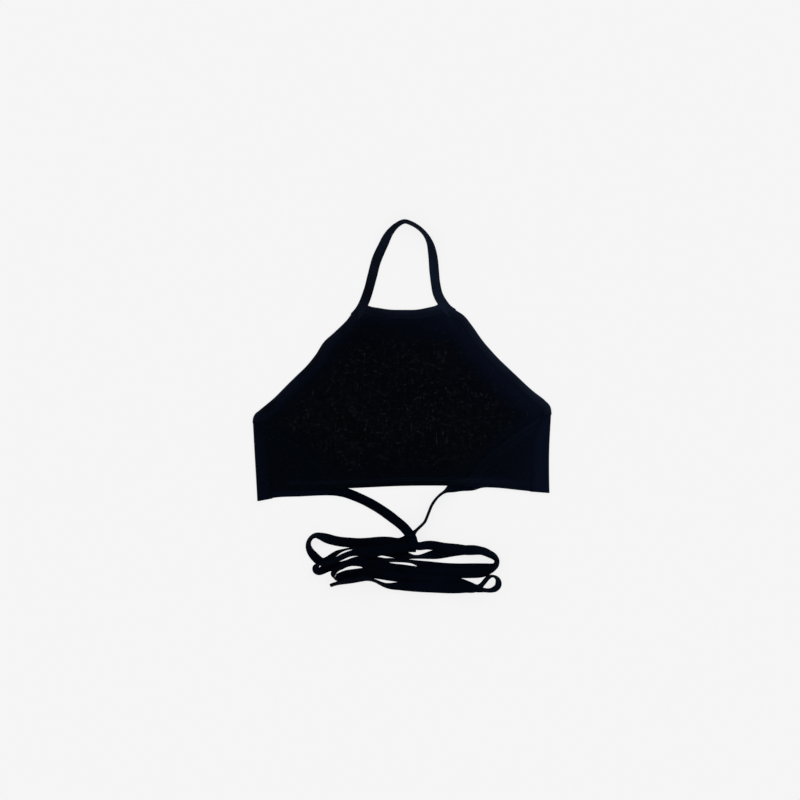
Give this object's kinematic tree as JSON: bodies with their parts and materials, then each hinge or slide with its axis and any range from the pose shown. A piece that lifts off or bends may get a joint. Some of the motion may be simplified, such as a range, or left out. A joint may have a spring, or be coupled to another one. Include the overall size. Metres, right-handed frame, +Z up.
{
  "type": "halter crop top",
  "caption": "Halter crop top in fine dark knit with a neck strap, bound armholes, an open back and long wrap ties, laid flat with the ties folded loosely below the hem.",
  "frame": {"origin": "the middle of the whole outline seen from above, on the surface that the top lies on", "axes": "+Y from the ties towards the neck strap, +X to the right as seen from above, +Z up from the surface and out of the front of the top"},
  "size_m": [0.3576, 0.4486, 0.0207],
  "materials": {
    "knit": "matt fine knit",
    "rib": "matt doubled knit strip"
  },
  "bodies": {
    "root": {"front_panel": "knit", "neck_band": "rib", "neck_strap": "rib", "left_armhole_binding": "rib", "right_armhole_binding": "rib", "left_back_wing": "knit", "right_back_wing": "knit", "left_wing_binding": "rib", "right_wing_binding": "rib", "left_tie": "rib", "right_tie": "rib"}
  },
  "joints": []
}
